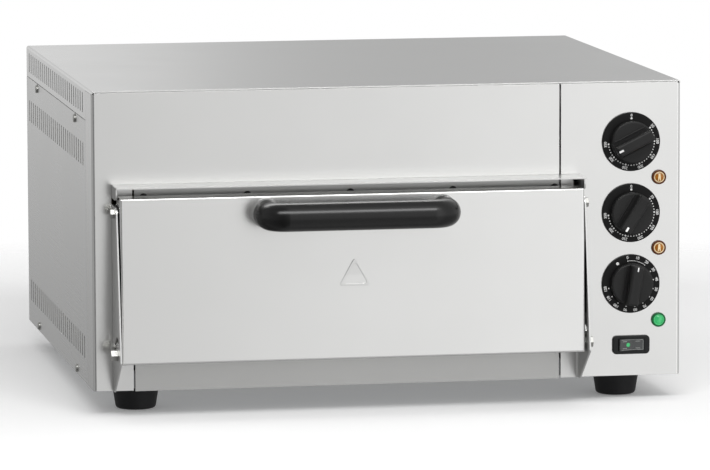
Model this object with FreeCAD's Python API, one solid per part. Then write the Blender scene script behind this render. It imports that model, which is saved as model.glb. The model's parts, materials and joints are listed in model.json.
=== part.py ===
import FreeCAD, Part
import math
import os
from FreeCAD import Vector

# Countertop deck oven with one baking chamber, a drop-down door and a control panel on the right.
# Shapes are drawn in casing coordinates, in millimetres: x runs from the casing's left face to
# the right, y from its front plane to the back, z upwards from its underside. save() moves each
# one so that the origin is at the bottom centre of the whole oven's box, front towards -Y.

os.makedirs("parts", exist_ok=True)

# Casing
WIDTH = 568.0
DEPTH = 500.0
HEIGHT = 284.0
SHEET = 1.2
BEND = 2.4
PANEL_GAP = 0.3
SEAM_GAP = 1.6
RETURN_DEPTH = 41.5
HOOD_SEAM = 253.0
PANEL_SEAM_X = 450.3
FRAME_SEAM_X = 39.1
FASCIA_TOP = HEIGHT - SHEET - PANEL_GAP
RETURN_TOP = HEIGHT - BEND - 0.4
TRAY_RIM = 17.0

# Casing screws, as heads' radius and height, and as places on the sides, the back and the frame
SCREW_R = 4.0
SCREW_PROUD = 2.0
SIDE_SCREW_Y = (116.5, 412.0)
SIDE_SCREW_Z = (5.6, 247.6)
BACK_SCREWS = [(x, z) for x in (7.5, WIDTH - 7.5) for z in (30.0, 128.0, 232.0)]
FRONT_SCREWS = [(49.0 + 99.0 * i, 183.4) for i in range(5)]

# Ventilation slots
SLOT_COUNT = 27
SLOT_PITCH = 16.0
SLOT_WIDTH = 4.4
SLOT_START = 62.0
SLOT_BANDS = {"hood": (258.6, 277.8), "upper": (207.9, 229.9), "lower": (22.6, 44.6)}

# Feet
FOOT_HEIGHT = 24.0
FOOT_TOP_R = 22.8
FOOT_BOTTOM_R = 19.0
FOOT_X = (47.0, 516.5)
FOOT_Y = (50.0, 450.0)

# Door and its surround
DOOR_MID = 243.9
DOOR_WIDTH = 444.6
DOOR_BOTTOM = 30.0
DOOR_TOP = 186.2
DOOR_FRONT_TOP = -35.0
DOOR_FRONT_BOTTOM = -42.0
DOOR_BACK = -12.0
CHEEK_IN = 223.7
CHEEK_SHEET = 1.5
CHEEK_TOP = 177.2
LEDGE_TOP = 195.8
LEDGE_REACH = 33.0
LEDGE_TAB_DROP = 12.2
PIVOT_Y = -31.0
PIVOT_Z = 38.4
CATCH_Y = -19.0
CATCH_Z = 170.8
STOP_R = 14.5
STOP_ANGLE = 25.0
DOOR_SWING = 88.0
PIN_R = 2.0
SLOT_HALF = 2.6
BOLT_R = 3.0
ARM_X0 = 33.5
ARM_X1 = 35.5
SPRING_WIRE = 0.8
SPRING_R = 4.5
SPRING_PITCH = 1.9
SPRING_TURNS = 4
HOOK_AT = (-3.0, 8.2)
RUNNING_FIT = 0.05

# Handle
HANDLE_Z = 170.5
HANDLE_Y = -79.0
HANDLE_R = 13.5
HANDLE_X = (159.0, 326.8)
HANDLE_BOSS_R = 14.0
HANDLE_BEND = 14.5
HANDLE_FOOT_Y = -44.0
HANDLE_SCREW_TIP = -60.0

# Chamber
CHAMBER_HALF = 200.0
CHAMBER_DEPTH = 412.0
CHAMBER_FLOOR = 44.0
CHAMBER_CEILING = 172.0
STONE_TOP = 76.0
STONE_THICK = 14.0
ELEMENT_R = 3.5
ELEMENT_RUNS = 8
ELEMENT_PITCH = 45.0
ELEMENT_Y = 60.0
ELEMENT_X = (75.0, 395.0)
ELEMENT_Z = {"upper": 160.0, "lower": 52.0}
TERMINAL_X = 470.0
PROBE_X = 434.0
PROBE_Y = 140.0
PARTITION_X = 452.6

# Controls
KNOB_X = 519.5
KNOB_Z = {"top": 225.7, "bottom": 157.3, "timer": 88.9}
KNOB_POINTER = {"top": 244.0, "bottom": 212.0, "timer": 9.0}
DIAL_R = 28.3
KNOB_R = 20.3
SPINDLE_R = 3.0
LAMP_X = 547.0
LAMP_Z = {"top": 191.1, "bottom": 123.0, "power": 53.3}
LAMP_R = 7.0
SWITCH_X = 520.0
SWITCH_Z = 29.8
SWITCH_SIZE = (36.4, 18.0)
SWITCH_CAVITY = (25.6, 12.0)
ROCKER_TILT = 8.0
ROCKER_AXIS_Y = 0.5
ROCKER_HALF = 12.2
ROCKER_LAMP = (-3.4, 2.0)

# Supply cable gland
GLAND_X = 520.0
GLAND_Z = 46.0
GLAND_BORE_R = 4.5
GLAND_REACH = 18.0

HANDLE_FRONT = HANDLE_Y - HANDLE_R
SHIFT = Vector(-WIDTH / 2, -(HANDLE_FRONT + DEPTH + GLAND_REACH) / 2, FOOT_HEIGHT)


def save(name, shape):
    moved = shape.copy()
    moved.translate(SHIFT)
    moved.exportStep(f"parts/{name}.step")


def box(x0, x1, y0, y1, z0, z1):
    return Part.makeBox(x1 - x0, y1 - y0, z1 - z0, Vector(x0, y0, z0))


def rod_x(x0, x1, y, z, radius):
    return Part.makeCylinder(radius, x1 - x0, Vector(x0, y, z), Vector(1, 0, 0))


def rod_y(x, y0, y1, z, radius):
    return Part.makeCylinder(radius, y1 - y0, Vector(x, y0, z), Vector(0, 1, 0))


def rod_z(x, y, z0, z1, radius):
    return Part.makeCylinder(radius, z1 - z0, Vector(x, y, z0), Vector(0, 0, 1))


def fuse(shapes):
    return shapes[0].multiFuse(shapes[1:]).removeSplitter()


def group(shapes):
    return Part.makeCompound(shapes)


def mirrored(shape):
    """The same piece on the other side of the door's middle plane."""
    return shape.mirror(Vector(DOOR_MID, 0, 0), Vector(1, 0, 0))


def rounded(shape, radius, axis, *places):
    """Fillet the straight edges along one axis that lie at the given pairs of the other two."""
    along = {"x": (0, (1, 2)), "y": (1, (0, 2)), "z": (2, (0, 1))}[axis]
    chosen = []
    for edge in shape.Edges:
        start, end = edge.Vertexes[0].Point, edge.Vertexes[-1].Point
        run = end - start
        if abs(run[along[0]]) < 0.5 or abs(run[along[0]]) < 0.999 * run.Length:
            continue
        middle = (start + end) * 0.5
        for place in places:
            if all(abs(middle[i] - p) < 0.01 for i, p in zip(along[1], place)):
                chosen.append(edge)
    return shape.makeFillet(radius, chosen)


def prism_x(points, x0, x1):
    """A solid from an outline of (y, z) points, extruded along x."""
    outline = [Vector(x0, y, z) for y, z in points]
    face = Part.Face(Part.makePolygon(outline + outline[:1]))
    return face.extrude(Vector(x1 - x0, 0, 0))


def prism_y(points, y0, y1):
    """A solid from an outline of (x, z) points, extruded along y."""
    outline = [Vector(x, y0, z) for x, z in points]
    face = Part.Face(Part.makePolygon(outline + outline[:1]))
    return face.extrude(Vector(0, y1 - y0, 0))


def hexagon_x(x0, x1, y, z, across_flats):
    corner = across_flats / math.sqrt(3)
    turns = [math.radians(60 * i) for i in range(6)]
    return prism_x([(y + corner * math.cos(t), z + corner * math.sin(t)) for t in turns], x0, x1)


def hexagon_y(x, y0, y1, z, across_flats):
    corner = across_flats / math.sqrt(3)
    turns = [math.radians(60 * i) for i in range(6)]
    return prism_y([(x + corner * math.cos(t), z + corner * math.sin(t)) for t in turns], y0, y1)


def bent_tube(points, radius, bend):
    """A tube of straight runs joined by tangent arcs."""
    edges = []
    start = points[0]
    for before, corner, after in zip(points, points[1:], points[2:]):
        back = (before - corner).normalize()
        on = (after - corner).normalize()
        half = back.getAngle(on) / 2
        reach = bend / math.tan(half)
        middle = (back + on).normalize() * (bend / math.sin(half) - bend)
        first, last = corner + back * reach, corner + on * reach
        edges.append(Part.makeLine(start, first))
        edges.append(Part.Arc(first, corner + middle, last).toShape())
        start = last
    edges.append(Part.makeLine(start, points[-1]))
    path = Part.Wire(edges)
    section = Part.Wire(Part.makeCircle(radius, points[0], points[1] - points[0]))
    return path.makePipeShell([section], True, True)


def slot_row(x0, x1, band):
    low, high = SLOT_BANDS[band]
    slots = []
    for i in range(SLOT_COUNT):
        y = SLOT_START + SLOT_PITCH * i
        slots.append(box(x0, x1, y - SLOT_WIDTH / 2, y + SLOT_WIDTH / 2, low, high))
    return group(slots)


# ---------------------------------------------------------------- casing

def top_cover():
    """Lid with side and rear flanges; the side flanges carry the highest row of slots."""
    top, back = HEIGHT, DEPTH
    shell = box(0, WIDTH, 0, back, HOOD_SEAM + PANEL_GAP, top)
    shell = rounded(shell, BEND, "y", (0, top), (WIDTH, top))
    hollow = box(SHEET, WIDTH - SHEET, -1, back - SHEET, HOOD_SEAM - 1, top - SHEET)
    hollow = rounded(hollow, BEND - SHEET, "y", (SHEET, top - SHEET), (WIDTH - SHEET, top - SHEET))
    shell = shell.cut(hollow)
    for x0, x1 in ((-1, BEND + 0.2), (WIDTH - BEND - 0.2, WIDTH + 1)):
        shell = shell.cut(box(x0, x1, -1, RETURN_DEPTH + PANEL_GAP, HOOD_SEAM - 1, RETURN_TOP + PANEL_GAP))
    return shell.cut(slot_row(-1, 4, "hood")).cut(slot_row(WIDTH - 4, WIDTH + 1, "hood"))


def left_side_panel():
    """Flat side sheet with turned-in rear and bottom flanges, hung on screws in open slots."""
    y0, y1 = RETURN_DEPTH + PANEL_GAP, DEPTH - SHEET - PANEL_GAP
    top = HOOD_SEAM - PANEL_GAP
    sheet = box(0, SHEET, y0, y1, 0, top)
    rear = box(0, 14, y1 - SHEET, y1, 0, top)
    lower = box(0, 14, y0, y1, 0, SHEET)
    panel = fuse([sheet, rear, lower])
    panel = panel.cut(slot_row(-1, 2, "upper")).cut(slot_row(-1, 2, "lower"))
    for y in SIDE_SCREW_Y:
        z = SIDE_SCREW_Z[1]
        panel = panel.cut(rod_x(-1, 2, y, z, 2.4)).cut(box(-1, 2, y - 2.4, y + 2.4, z, top + 1))
        panel = panel.cut(rod_x(-1, 2, y, SIDE_SCREW_Z[0], 2.2))
    for x, z in BACK_SCREWS[:3]:
        panel = panel.cut(rod_y(x, y1 - 3, y1 + 1, z, 2.2))
    return panel


def casing_mirrored(shape):
    return shape.mirror(Vector(WIDTH / 2, 0, 0), Vector(1, 0, 0))


def back_panel():
    """Rear sheet with two rows of slots and the cable gland's hole."""
    y0, y1 = DEPTH - SHEET, DEPTH
    panel = box(0, WIDTH, y0, y1, 0, HOOD_SEAM - PANEL_GAP)
    slots = []
    for i in range(24):
        x = 60 + SLOT_PITCH * i
        for low in (60, 190):
            slots.append(box(x - SLOT_WIDTH / 2, x + SLOT_WIDTH / 2, y0 - 1, y1 + 1, low, low + 30))
    panel = panel.cut(group(slots))
    panel = panel.cut(rod_y(GLAND_X, y0 - 1, y1 + 1, GLAND_Z, 8.1))
    for x, z in BACK_SCREWS:
        panel = panel.cut(rod_y(x, y0 - 1, y1 + 1, z, 2.2))
    return panel


def base_tray():
    """Bottom sheet with upturned rims; the feet and the chamber's supports bolt to it."""
    low = SHEET + PANEL_GAP
    x0, x1 = SHEET + 2 * PANEL_GAP, WIDTH - SHEET - 2 * PANEL_GAP
    y0, y1 = SHEET + 1.0, DEPTH - 2 * SHEET - 2 * PANEL_GAP
    tray = box(x0, x1, y0, y1, low, low + TRAY_RIM)
    tray = tray.cut(box(x0 + SHEET, x1 - SHEET, y0 + SHEET, y1 - SHEET, low + SHEET, low + 30))
    for y in SIDE_SCREW_Y:
        for x in (x0, x1):
            tray = tray.cut(rod_x(x - 2, x + 2, y, SIDE_SCREW_Z[0], 2.2))
    for x in FOOT_X:
        for y in FOOT_Y:
            tray = tray.cut(rod_z(x, y, -1, 10, 3.1))
    for i in range(12):
        for j in range(3):
            x, y = 100 + 30 * i, 150 + 110 * j
            tray = tray.cut(box(x - 2, x + 2, y - 25, y + 25, -1, 10))
    return tray


def front_fascia():
    """Upper front band and left post in one sheet, with a return folded round the left side."""
    right = PANEL_SEAM_X - SEAM_GAP / 2
    sheet = box(0, right, 0, RETURN_DEPTH, 0, FASCIA_TOP)
    sheet = rounded(sheet, 3.0, "z", (0, 0))
    hollow = box(SHEET, right + 1, SHEET, RETURN_DEPTH + 1, -1, FASCIA_TOP + 1)
    hollow = rounded(hollow, 3.0 - SHEET, "z", (SHEET, SHEET))
    sheet = sheet.cut(hollow)
    cheek_face = DOOR_MID - CHEEK_IN - CHEEK_SHEET
    sheet = sheet.cut(box(cheek_face - 0.1, right + 1, -1, 3, -1, LEDGE_TOP + 0.1))
    flange = box(4, right - 2, 0.6, 15, FASCIA_TOP - SHEET, FASCIA_TOP)
    sheet = fuse([sheet, flange])
    return sheet.cut(box(-1, BEND + 0.2, -1, RETURN_DEPTH + 1, RETURN_TOP, FASCIA_TOP + 1))


def control_panel():
    """Right front sheet with its return, holes for three spindles, three lamps and the switch."""
    left = PANEL_SEAM_X + SEAM_GAP / 2
    sheet = box(left, WIDTH, 0, RETURN_DEPTH, 0, FASCIA_TOP)
    sheet = rounded(sheet, 3.0, "z", (WIDTH, 0))
    hollow = box(left - 1, WIDTH - SHEET, SHEET, RETURN_DEPTH + 1, -1, FASCIA_TOP + 1)
    hollow = rounded(hollow, 3.0 - SHEET, "z", (WIDTH - SHEET, SHEET))
    sheet = sheet.cut(hollow)
    cheek_face = DOOR_MID + CHEEK_IN + CHEEK_SHEET
    sheet = sheet.cut(box(left - 1, cheek_face + 0.1, -1, 3, -1, LEDGE_TOP + 0.1))
    flange = box(left + 2, WIDTH - 4, 0.6, 15, FASCIA_TOP - SHEET, FASCIA_TOP)
    sheet = fuse([sheet, flange])
    for z in KNOB_Z.values():
        sheet = sheet.cut(rod_y(KNOB_X, -1, 3, z, 5.2))
    for z in LAMP_Z.values():
        sheet = sheet.cut(rod_y(LAMP_X, -1, 3, z, 5.6))
    half_x, half_z = SWITCH_CAVITY[0] / 2 + 1.3, SWITCH_CAVITY[1] / 2 + 1.3
    sheet = sheet.cut(
        box(SWITCH_X - half_x, SWITCH_X + half_x, -1, 3, SWITCH_Z - half_z, SWITCH_Z + half_z)
    )
    return sheet.cut(
        box(WIDTH - BEND - 0.2, WIDTH + 1, -1, RETURN_DEPTH + 1, RETURN_TOP, FASCIA_TOP + 1)
    )


def casing_screws():
    """Pan-head screws of the two sides and the back."""
    screws = []
    for y in SIDE_SCREW_Y:
        for z in SIDE_SCREW_Z:
            head = rod_x(-SCREW_PROUD, 0, y, z, SCREW_R)
            head = head.makeFillet(1.1, [head.Edges[2]])
            left = fuse([head, rod_x(-1, 8, y, z, 1.9)])
            screws.append(left)
            screws.append(casing_mirrored(left))
    for x, z in BACK_SCREWS:
        head = rod_y(x, DEPTH, DEPTH + SCREW_PROUD, z, SCREW_R)
        head = rounded_rim(head, DEPTH + SCREW_PROUD)
        screws.append(fuse([head, rod_y(x, DEPTH - 8, DEPTH + 1, z, 1.9)]))
    return group(screws)


def rounded_rim(head, y, radius=1.1):
    """Fillet the round edge of a head that lies at one y."""
    rim = [e for e in head.Edges if len(e.Vertexes) == 1 and abs(e.CenterOfMass.y - y) < 0.01]
    return head.makeFillet(radius, rim)


def foot(x, y):
    """Tapered moulded foot with a recess for its screw."""
    body = Part.makeCone(FOOT_BOTTOM_R, FOOT_TOP_R, FOOT_HEIGHT, Vector(x, y, -FOOT_HEIGHT))
    low = [e for e in body.Edges if len(e.Vertexes) == 1 and e.CenterOfMass.z < -FOOT_HEIGHT + 1]
    body = body.makeFillet(3.5, low)
    body = body.cut(rod_z(x, y, -FOOT_HEIGHT - 1, -FOOT_HEIGHT + 12, 8))
    body = body.fuse(rod_z(x, y, 0, SHEET + PANEL_GAP, 12))
    return body.cut(rod_z(x, y, -FOOT_HEIGHT, 3, 3.1))


def foot_screws():
    """One pan-head screw and nut through each foot into the base tray."""
    screws = []
    low = SHEET + PANEL_GAP
    for x in FOOT_X:
        for y in FOOT_Y:
            head = rod_z(x, y, -FOOT_HEIGHT + 7.5, -FOOT_HEIGHT + 12, 5.5)
            shank = rod_z(x, y, -FOOT_HEIGHT + 11, low + 9, 2.9)
            nut = rod_z(x, y, low + SHEET, low + SHEET + 5, 5.5)
            screws.append(fuse([head, shank, nut]))
    return group(screws)


# ---------------------------------------------------------------- door surround


def door_ledge():
    """Visor over the door: a flat ledge with a rounded tab at each end and a hidden rear flange."""
    x0, x1 = DOOR_MID - CHEEK_IN - CHEEK_SHEET, DOOR_MID + CHEEK_IN + CHEEK_SHEET
    plate = box(x0, x1, -LEDGE_REACH, 0, LEDGE_TOP - SHEET, LEDGE_TOP)
    tabs = []
    for side in (x0, x1 - CHEEK_SHEET):
        tab = box(side, side + CHEEK_SHEET, -29, 0, LEDGE_TOP - LEDGE_TAB_DROP, LEDGE_TOP - 0.6)
        tab = rounded(tab, 6.0, "x", (-29, LEDGE_TOP - LEDGE_TAB_DROP))
        tabs.append(tab)
    rear = box(x0 + 6, x1 - 6, -0.5, 1.5 + SHEET, LEDGE_TOP - SHEET, LEDGE_TOP)
    riser = box(x0 + 6, x1 - 6, 1.5, 1.5 + SHEET, LEDGE_TOP - SHEET, LEDGE_TOP + 14)
    riser = riser.cut(box(PANEL_SEAM_X - 5, PANEL_SEAM_X + 5, 1, 4, LEDGE_TOP, LEDGE_TOP + 15))
    ledge = fuse([plate, rear, riser] + tabs)
    return rounded(ledge, 0.9, "y", (x0, LEDGE_TOP), (x1, LEDGE_TOP))


def stop_point(angle):
    turn = math.radians(angle)
    return PIVOT_Y + STOP_R * math.cos(turn), PIVOT_Z + STOP_R * math.sin(turn)


def stop_slot(x0, x1):
    """Arc slot round the hinge that the door's stop pin runs in."""
    spread = math.degrees(SLOT_HALF / STOP_R)
    ring = rod_x(x0, x1, PIVOT_Y, PIVOT_Z, STOP_R + SLOT_HALF)
    ring = ring.cut(rod_x(x0, x1, PIVOT_Y, PIVOT_Z, STOP_R - SLOT_HALF))
    reach = 60.0
    first = math.radians(STOP_ANGLE)
    last = math.radians(STOP_ANGLE + DOOR_SWING)
    middle = (first + last) / 2
    wedge = prism_x(
        [
            (PIVOT_Y, PIVOT_Z),
            (PIVOT_Y + reach * math.cos(first), PIVOT_Z + reach * math.sin(first)),
            (PIVOT_Y + reach * 2 * math.cos(middle), PIVOT_Z + reach * 2 * math.sin(middle)),
            (PIVOT_Y + reach * math.cos(last), PIVOT_Z + reach * math.sin(last)),
        ],
        x0,
        x1,
    )
    ends = []
    for angle in (STOP_ANGLE - spread * 0.02, STOP_ANGLE + DOOR_SWING + spread * 0.02):
        y, z = stop_point(angle)
        ends.append(rod_x(x0, x1, y, z, SLOT_HALF))
    return fuse([ring.common(wedge)] + ends)


def left_hinge_cheek(seam_x):
    """Angle at the door's left side: a strip in the front plane and a cheek standing forward."""
    inner = DOOR_MID - CHEEK_IN
    outer = inner - CHEEK_SHEET
    outline = [(SHEET, 0), (-9, 0), (-53, 32.5), (-28.8, CHEEK_TOP), (SHEET, CHEEK_TOP)]
    cheek = prism_x(outline, outer, inner)
    cheek = rounded(cheek, 7.0, "x", (-28.8, CHEEK_TOP))
    cheek = rounded(cheek, 2.0, "x", (-53, 32.5))
    strip = box(outer, seam_x - SEAM_GAP / 2, 0, SHEET, -0.3, LEDGE_TOP - SHEET - 0.2)
    strip = strip.cut(box(outer - 1, outer + 5.8, -1, 3, CHEEK_TOP, LEDGE_TOP))
    angle = fuse([cheek, strip])
    angle = rounded(angle, 2.0, "z", (inner, 0))
    for y, z, radius in (
        (CATCH_Y, CATCH_Z, 2.55),
        (PIVOT_Y, PIVOT_Z, BOLT_R),
        (PIVOT_Y + HOOK_AT[0], PIVOT_Z + HOOK_AT[1], 1.3),
    ):
        angle = angle.cut(rod_x(outer - 1, inner + 1, y, z, radius))
    return angle.cut(stop_slot(outer - 1, inner + 1))


def chamber_front_frame():
    """Centre front plate round the chamber's mouth, down to the kick below the door."""
    x0, x1 = FRAME_SEAM_X + SEAM_GAP / 2, PANEL_SEAM_X - SEAM_GAP / 2
    plate = box(x0, x1, 0, SHEET, -1.0, LEDGE_TOP - SHEET - 0.2)
    mouth = (DOOR_MID - CHAMBER_HALF, DOOR_MID + CHAMBER_HALF)
    plate = plate.cut(box(mouth[0], mouth[1], -1, 3, CHAMBER_FLOOR, CHAMBER_CEILING))
    for x, z in FRONT_SCREWS:
        plate = plate.cut(rod_y(x, -1, 3, z, 2.2))
    return plate


def front_frame_screws():
    screws = []
    for x, z in FRONT_SCREWS:
        head = rounded_rim(rod_y(x, -2.0, 0, z, 3.8), -2.0)
        screws.append(fuse([head, rod_y(x, -1, 9, z, 1.9)]))
    return group(screws)


def hinge_bolts():
    """Shoulder bolts that the door turns on, each with a nut inside the cheek and one at its end."""
    inner = DOOR_MID - CHEEK_IN
    outer = inner - CHEEK_SHEET
    head = hexagon_x(outer - 6.2, outer, PIVOT_Y, PIVOT_Z, 9.6)
    shank = rod_x(outer - 2, ARM_X1 + 5.5, PIVOT_Y, PIVOT_Z, BOLT_R)
    nut = hexagon_x(inner, inner + 3, PIVOT_Y, PIVOT_Z, 9)
    end = hexagon_x(ARM_X1 + 0.4, ARM_X1 + 4.4, PIVOT_Y, PIVOT_Z, 9)
    bolt = fuse([head, shank, nut, end])
    return group([bolt, mirrored(bolt)])


def catch_bolts():
    """Upper bolts through the cheeks; the shut door's notched sides rest on them."""
    inner = DOOR_MID - CHEEK_IN
    outer = inner - CHEEK_SHEET
    head = hexagon_x(outer - 4.2, outer, CATCH_Y, CATCH_Z, 8.4)
    shank = rod_x(outer - 2, inner + 6, CATCH_Y, CATCH_Z, 2.5)
    bolt = fuse([head, shank])
    return group([bolt, mirrored(bolt)])


def left_hinge_spring():
    """Torsion spring round the left hinge bolt, with one leg hooked in the cheek."""
    inner = DOOR_MID - CHEEK_IN
    outer = inner - CHEEK_SHEET
    start, end = inner + 4.2, inner + 4.2 + SPRING_PITCH * SPRING_TURNS
    helix = Part.makeHelix(SPRING_PITCH, SPRING_PITCH * SPRING_TURNS, SPRING_R)
    section = Part.Wire(Part.makeCircle(SPRING_WIRE, Vector(SPRING_R, 0, 0), Vector(0, 1, 0)))
    coil = Part.Wire(helix).makePipeShell([section], True, True)
    coil.rotate(Vector(0, 0, 0), Vector(0, 1, 0), 90)
    hook_angle = math.atan2(HOOK_AT[1], HOOK_AT[0])
    coil.rotate(Vector(0, 0, 0), Vector(1, 0, 0), math.degrees(hook_angle) + 90)
    coil.translate(Vector(start, PIVOT_Y, PIVOT_Z))
    outward = Vector(0, math.cos(hook_angle), math.sin(hook_angle))
    tangent = Vector(0, -math.sin(hook_angle), math.cos(hook_angle))
    hook_y, hook_z = PIVOT_Y + HOOK_AT[0], PIVOT_Z + HOOK_AT[1]
    bend_at = Vector(start, hook_y, hook_z)
    coil_end = Vector(end, PIVOT_Y, PIVOT_Z) + outward * SPRING_R
    outside = Vector(outer - 1.6, hook_y, hook_z)
    pieces = [
        coil,
        Part.makeCylinder(SPRING_WIRE, math.hypot(*HOOK_AT) - SPRING_R, bend_at, outward * -1),
        Part.makeSphere(SPRING_WIRE, bend_at),
        rod_x(outer - 1.6, start, hook_y, hook_z, SPRING_WIRE),
        Part.makeSphere(SPRING_WIRE, outside),
        Part.makeCylinder(SPRING_WIRE, 1.8, outside, Vector(0, 0, 1)),
        Part.makeCylinder(SPRING_WIRE, 4.0, coil_end, tangent),
    ]
    return fuse(pieces)


# ---------------------------------------------------------------- door


def door_front_y(z):
    """The door's outer face leans back towards its top."""
    share = (z - DOOR_BOTTOM) / (DOOR_TOP - DOOR_BOTTOM)
    return DOOR_FRONT_BOTTOM + (DOOR_FRONT_TOP - DOOR_FRONT_BOTTOM) * share


def door_cavity(clear=0.0):
    """The space inside the outer sheet, from its front to the closing plate."""
    half = DOOR_WIDTH / 2 - SHEET - clear
    low, high = DOOR_BOTTOM + SHEET + clear, DOOR_TOP - SHEET - clear
    front = SHEET + clear
    outline = [
        (door_front_y(low) + front, low),
        (door_front_y(high) + front, high),
        (DOOR_BACK + 1, high),
        (DOOR_BACK + 1, low),
    ]
    return prism_x(outline, DOOR_MID - half, DOOR_MID + half)


def warning_triangle(size, y0, y1):
    """Blank embossed triangle with rounded corners."""
    middle, base = DOOR_MID + 0.2, 99.5
    height = size * math.sqrt(3) / 2
    outline = [(middle - size / 2, base), (middle + size / 2, base), (middle, base + height)]
    solid = prism_y(outline, y0, y1)
    upright = [e for e in solid.Edges if abs(e.Vertexes[0].Y - e.Vertexes[-1].Y) > 0.1]
    return solid.makeFillet(2.2, upright)


def door_outer_panel():
    """Front sheet folded back on four sides, with a blank embossed triangle."""
    half = DOOR_WIDTH / 2
    x0, x1 = DOOR_MID - half, DOOR_MID + half
    outline = [
        (DOOR_FRONT_BOTTOM, DOOR_BOTTOM),
        (DOOR_FRONT_TOP, DOOR_TOP),
        (DOOR_BACK, DOOR_TOP),
        (DOOR_BACK, DOOR_BOTTOM),
    ]
    shell = prism_x(outline, x0, x1)
    front = [e for e in shell.Edges if all(v.Y < DOOR_FRONT_TOP + 0.01 for v in e.Vertexes)]
    shell = shell.makeFillet(1.8, front).cut(door_cavity())
    for a, b in ((x0 - 1, x0 + SHEET), (x1 - SHEET, x1 + 1)):
        shell = shell.cut(box(a, b, -38, DOOR_BACK + 1, DOOR_BOTTOM - 1, 66))
        shell = shell.cut(box(a, b, CATCH_Y - 3.2, DOOR_BACK + 1, CATCH_Z - 3.4, CATCH_Z + 7.4))
    base_y = door_front_y(112.0)
    emboss = warning_triangle(31.0, base_y - 0.7, base_y + 0.9)
    emboss = emboss.cut(warning_triangle(25.0, base_y - 0.7, base_y - 0.1).translated(Vector(0, 0, 1.8)))
    shell = fuse([shell, emboss])
    for x in HANDLE_X:
        shell = shell.cut(rod_y(x, -50, -20, HANDLE_Z, 3.1))
    return shell


def door_inner_panel():
    """Closing plate with a raised plug that fills the chamber's mouth."""
    half = DOOR_WIDTH / 2 - SHEET - 0.2
    plate = box(
        DOOR_MID - half,
        DOOR_MID + half,
        DOOR_BACK - SHEET,
        DOOR_BACK,
        DOOR_BOTTOM + SHEET + 0.2,
        DOOR_TOP - SHEET - 0.2,
    )
    x0, x1, z0, z1 = DOOR_MID - 196, DOOR_MID + 196, 47, 168
    plug = box(x0, x1, DOOR_BACK - 0.5, -2, z0, z1)
    plug = rounded(plug, 3.0, "y", (x0, z0), (x0, z1), (x1, z0), (x1, z1))
    rim = [e for e in plug.Edges if all(abs(v.Y + 2) < 0.01 for v in e.Vertexes)]
    plug = plug.makeFillet(2.5, rim)
    hollow = box(x0 + SHEET, x1 - SHEET, DOOR_BACK - 2, -2 - SHEET, z0 + SHEET, z1 - SHEET)
    panel = fuse([plate, plug]).cut(hollow)
    for a, b in ((DOOR_MID - half - 1, DOOR_MID - half + 10), (DOOR_MID + half - 10, DOOR_MID + half + 1)):
        panel = panel.cut(box(a, b, -30, DOOR_BACK + 1, CATCH_Z - 3.4, CATCH_Z + 7.4))
    return panel


def door_insulation():
    """Mineral wool that fills the door between the hinge arms."""
    wool = door_cavity(0.3).common(box(ARM_X1 + 8, 2 * DOOR_MID - ARM_X1 - 8, -60, DOOR_BACK - 1.4, 0, 300))
    for x in HANDLE_X:
        wool = wool.cut(rod_y(x, -60, -20, HANDLE_Z, 7))
    return wool


def door_hinge_arms():
    """Upright plates inside the door's lower corners that turn on the hinge bolts."""
    arm = door_cavity(0.1).common(box(ARM_X0, ARM_X1, -60, DOOR_BACK - SHEET - 0.1, 0, 72))
    foot_plate = door_cavity(0.1).common(
        box(ARM_X1 - 0.5, ARM_X1 + 6, -60, DOOR_BACK - SHEET - 0.1, 70.4, 72)
    )
    arm = fuse([arm, foot_plate])
    arm = arm.cut(rod_x(ARM_X0 - 1, ARM_X1 + 1, PIVOT_Y, PIVOT_Z, BOLT_R + RUNNING_FIT))
    y, z = stop_point(STOP_ANGLE)
    arm = arm.cut(rod_x(ARM_X0 - 1, ARM_X1 + 1, y, z, PIN_R))
    return group([arm, mirrored(arm)])


def door_stop_pins():
    """Pins on the hinge arms that run in the cheeks' arc slots and limit the door's swing."""
    outer = DOOR_MID - CHEEK_IN - CHEEK_SHEET
    y, z = stop_point(STOP_ANGLE)
    pin = rod_x(outer - 2.0, ARM_X1, y, z, PIN_R)
    clip = rod_x(outer - 1.4, outer - 0.5, y, z, 3.4)
    collar = rod_x(ARM_X0 - 3, ARM_X0, y, z, 3.2)
    piece = fuse([pin, clip, collar])
    return group([piece, mirrored(piece)])


def door_handle():
    """Moulded bridge handle: one round bar bent back at both ends to posts on base discs."""
    left, right = HANDLE_X
    route = [Vector(left, HANDLE_FOOT_Y, HANDLE_Z), Vector(left, HANDLE_Y, HANDLE_Z)]
    route += [Vector(right, HANDLE_Y, HANDLE_Z), Vector(right, HANDLE_FOOT_Y, HANDLE_Z)]
    pieces = [bent_tube(route, HANDLE_R, HANDLE_BEND)]
    for x in HANDLE_X:
        pieces.append(rod_y(x, HANDLE_FOOT_Y - 2, -34, HANDLE_Z, HANDLE_BOSS_R))
    handle = fuse(pieces)
    low, high = HANDLE_Z - 25, HANDLE_Z + 25
    keep_out = prism_x(
        [(door_front_y(low), low), (door_front_y(high), high), (0, high), (0, low)],
        left - 50,
        right + 50,
    )
    handle = handle.cut(keep_out)
    for x in HANDLE_X:
        handle = handle.cut(rod_y(x, HANDLE_SCREW_TIP, -20, HANDLE_Z, 3.0))
    return handle


def handle_screws():
    """Screws from inside the door into the handle's bosses."""
    screws = []
    face = door_front_y(HANDLE_Z) + SHEET
    for x in HANDLE_X:
        head = rod_y(x, face + 0.4, face + 4, HANDLE_Z, 5.5)
        screws.append(fuse([head, rod_y(x, HANDLE_SCREW_TIP, face + 1, HANDLE_Z, 2.95)]))
    return group(screws)


# ---------------------------------------------------------------- chamber


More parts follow.
